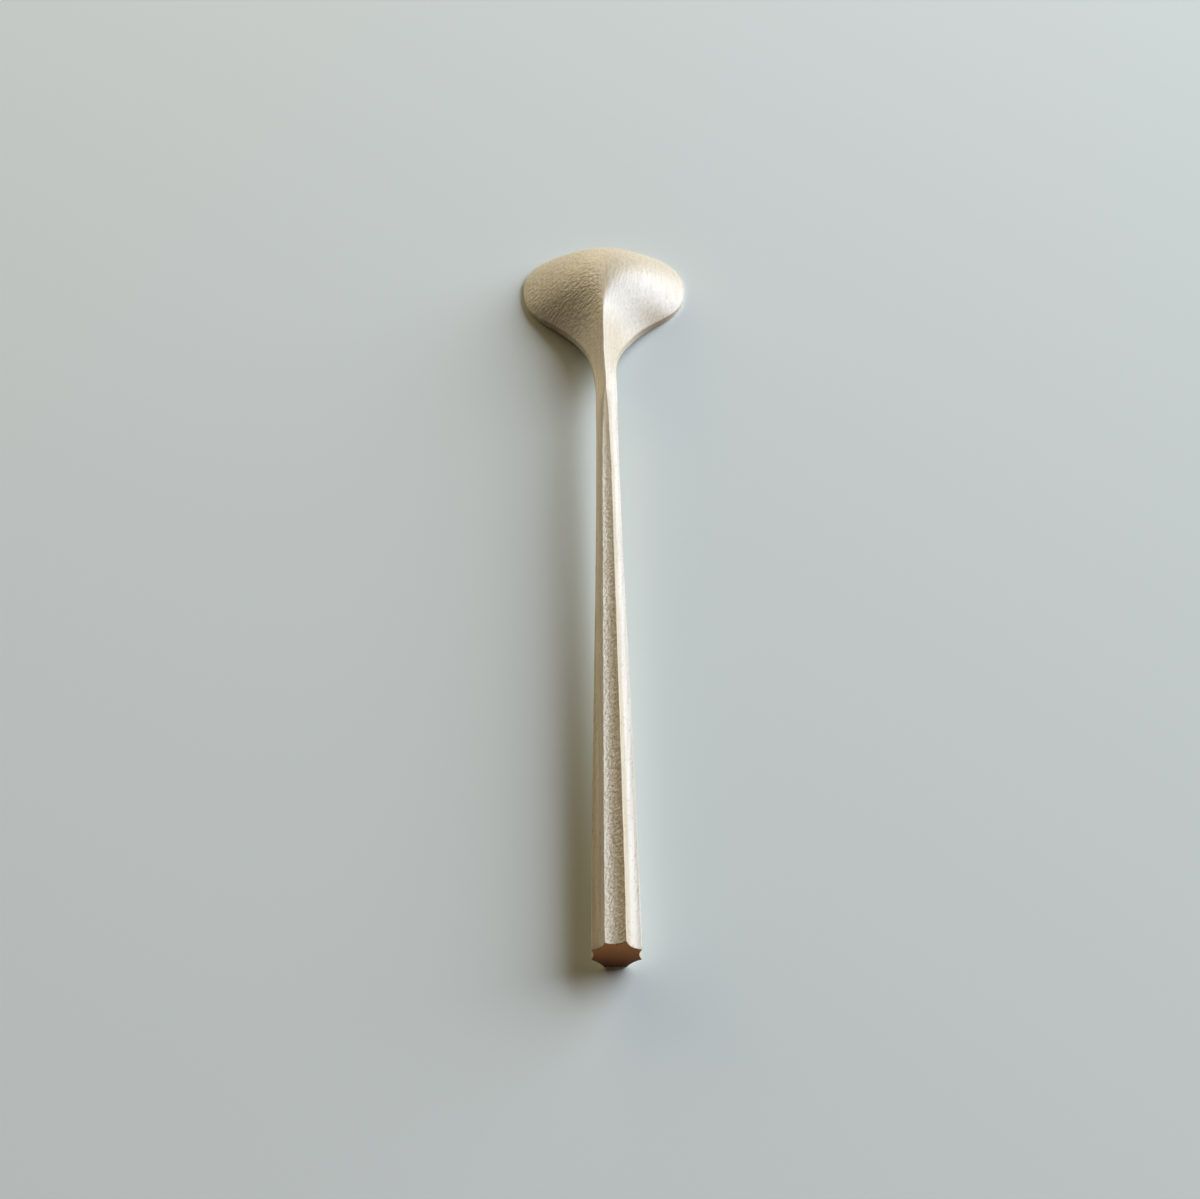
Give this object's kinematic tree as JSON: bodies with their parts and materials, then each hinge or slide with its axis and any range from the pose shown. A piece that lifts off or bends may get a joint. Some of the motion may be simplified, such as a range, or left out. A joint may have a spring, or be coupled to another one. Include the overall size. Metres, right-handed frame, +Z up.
{
  "type": "carved wooden spoon",
  "caption": "Carved wooden spoon with a round bowl, a keel on the bowl's back, a thin neck and a tapering fluted handle, lying with its bowl face down.",
  "frame": {"origin": "on the surface that the spoon lies on, under the centre of its bounding box", "axes": "+Y along the spoon from the handle's end face to the tip of the bowl, +Z up from the surface to the bowl's back, +X across the bowl"},
  "size_m": [0.0372, 0.1976, 0.0118],
  "materials": {
    "maple": "hand-carved maple, scraped smooth, satin, with darker end grain on the handle's end"
  },
  "bodies": {
    "root": {"spoon": "maple"}
  },
  "joints": []
}
